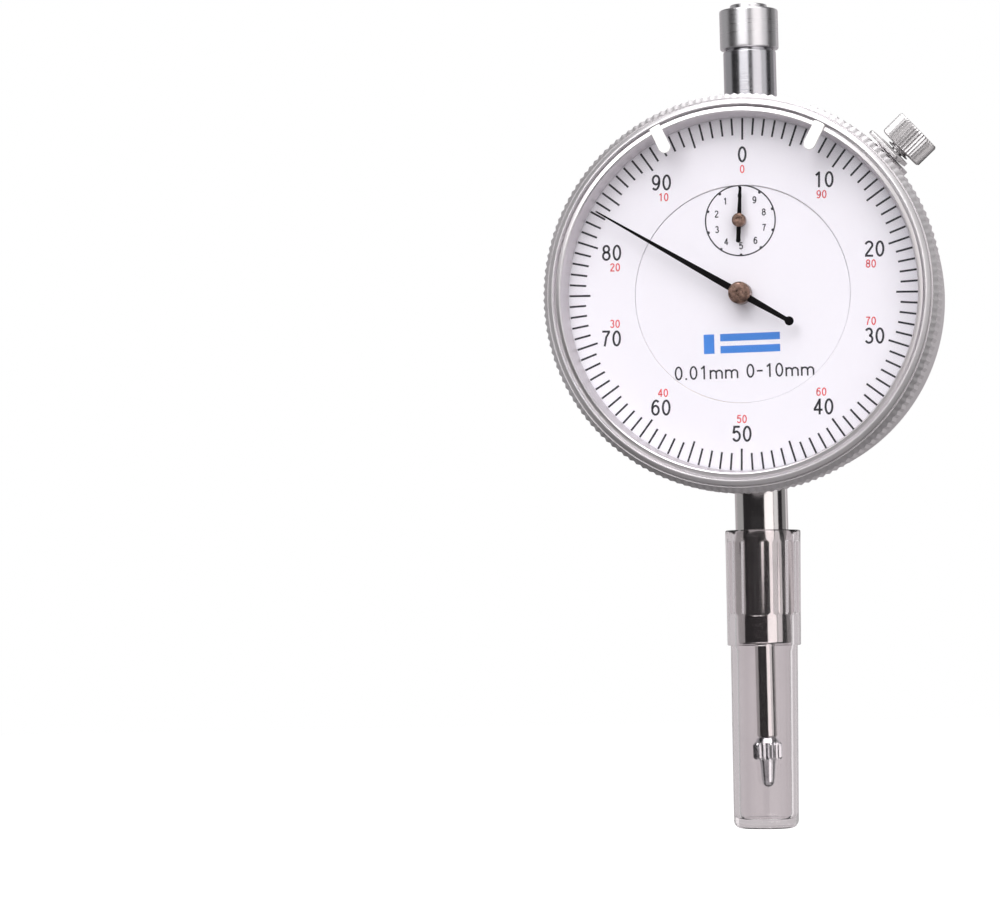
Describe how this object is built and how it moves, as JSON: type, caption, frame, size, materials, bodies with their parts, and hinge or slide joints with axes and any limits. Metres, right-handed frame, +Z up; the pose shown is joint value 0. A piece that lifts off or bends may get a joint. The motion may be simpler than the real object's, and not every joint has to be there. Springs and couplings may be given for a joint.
{
  "type": "dial indicator",
  "caption": "Plunger dial indicator with a turning knurled bezel, geared pointers, turn counter, lug back and a clear sleeve over its stem.",
  "frame": {"origin": "on the axis of the 8 mm mounting stem, in the middle of its clamping length", "axes": "+Z up along the measuring spindle, towards the dust cap; the dial faces -Y; +X to the reader's right"},
  "size_m": [0.0596, 0.0452, 0.125],
  "materials": {
    "satin_chrome": "satin",
    "steel": "ground",
    "nickel": "nickel plated",
    "brass": "plain",
    "hub_brass": "browned",
    "black_plastic": "grained cover with a glossy lug",
    "dial_white": "matt white with printed scales",
    "pointer_black": "black",
    "crystal_clear": "clear",
    "sleeve_clear": "cloudy clear",
    "tab_white": "white"
  },
  "bodies": {
    "case": {"case_body": "satin_chrome", "stem": "steel", "upper_tube": "steel", "dust_cap": "satin_chrome", "back_cover": "black_plastic", "cover_screw_1": "nickel", "cover_screw_2": "nickel", "cover_screw_3": "nickel", "front_plate": "brass", "plate_screw_1": "steel", "plate_screw_2": "steel", "plate_screw_3": "steel", "middle_plate": "brass", "pillar_1": "brass", "pillar_2": "brass", "pillar_3": "brass", "bridge_screw_1": "steel", "bridge_screw_2": "steel", "bridge_screw_3": "steel", "rear_cock": "brass", "cock_screw": "steel", "guide_rail": "brass", "return_spring": "steel", "spring_post": "steel", "hairspring": "steel", "hairspring_stud": "brass", "dial_disc": "dial_white", "dial_spacer": "brass", "bezel_spring_ring": "steel", "clamp_leaf": "satin_chrome"},
    "spindle": {"spindle": "steel", "contact_point": "steel", "guide_pin": "steel"},
    "rack_arbor": {"rack_arbor": "steel", "rack_gear": "brass"},
    "main_pointer": {"centre_arbor": "steel", "main_pointer": "pointer_black", "main_pointer_hub": "hub_brass"},
    "small_pointer": {"take_up_arbor": "steel", "take_up_gear": "brass", "hairspring_collet": "brass", "small_pointer": "pointer_black", "small_pointer_hub": "hub_brass"},
    "bezel": {"bezel_ring": "satin_chrome", "crystal": "crystal_clear", "dial_ring": "dial_white", "dial_snap_ring": "steel"},
    "tab_left": {"tolerance_tab_left": "tab_white"},
    "tab_right": {"tolerance_tab_right": "tab_white"},
    "clamp_screw": {"clamp_screw": "satin_chrome"},
    "sleeve": {"protective_sleeve": "sleeve_clear"}
  },
  "joints": [
    {"name": "spindle_slide", "type": "slide", "parent": "case", "child": "spindle", "axis": [0, 0, 1], "range_m": [0, 0.01], "stiffness_N_per_m": 30, "springref_m": -0.02, "deforming": ["return_spring"]},
    {"name": "rack_arbor_turn", "type": "hinge", "parent": "case", "child": "rack_arbor", "pos_m": [-0.00304, 0, 0.02949], "axis": [0, 1, 0], "range_deg": [-361, 1]},
    {"name": "main_pointer_turn", "type": "hinge", "parent": "case", "child": "main_pointer", "pos_m": [0, 0, 0.04], "axis": [0, 1, 0], "range_deg": [-1, 3601]},
    {"name": "small_pointer_turn", "type": "hinge", "parent": "case", "child": "small_pointer", "pos_m": [0, 0, 0.05094], "axis": [0, 1, 0], "range_deg": [-361, 1]},
    {"name": "bezel_turn", "type": "hinge", "parent": "case", "child": "bezel", "pos_m": [0, 0, 0.04], "axis": [0, 1, 0], "continuous": true},
    {"name": "tolerance_tab_left_slide", "type": "hinge", "parent": "bezel", "child": "tab_left", "pos_m": [0, 0, 0.04], "axis": [0, 1, 0], "range_deg": [-120, 22]},
    {"name": "tolerance_tab_right_slide", "type": "hinge", "parent": "bezel", "child": "tab_right", "pos_m": [0, 0, 0.04], "axis": [0, 1, 0], "range_deg": [-21, 124]},
    {"name": "clamp_screw_turn", "type": "hinge", "parent": "case", "child": "clamp_screw", "pos_m": [-0.0008, 0, 0.04089], "axis": [0.7431, 0, 0.6691], "range_deg": [-360, 0]},
    {"name": "sleeve_pull", "type": "slide", "parent": "case", "child": "sleeve", "axis": [0, 0, -1], "range_m": [0, 0.05]}
  ],
  "couplings": [
    {"joint": "rack_arbor_turn", "follows": "spindle_slide", "rad_per_m": -628.32},
    {"joint": "main_pointer_turn", "follows": "spindle_slide", "rad_per_m": 6283.2},
    {"joint": "small_pointer_turn", "follows": "spindle_slide", "rad_per_m": -628.32}
  ]
}
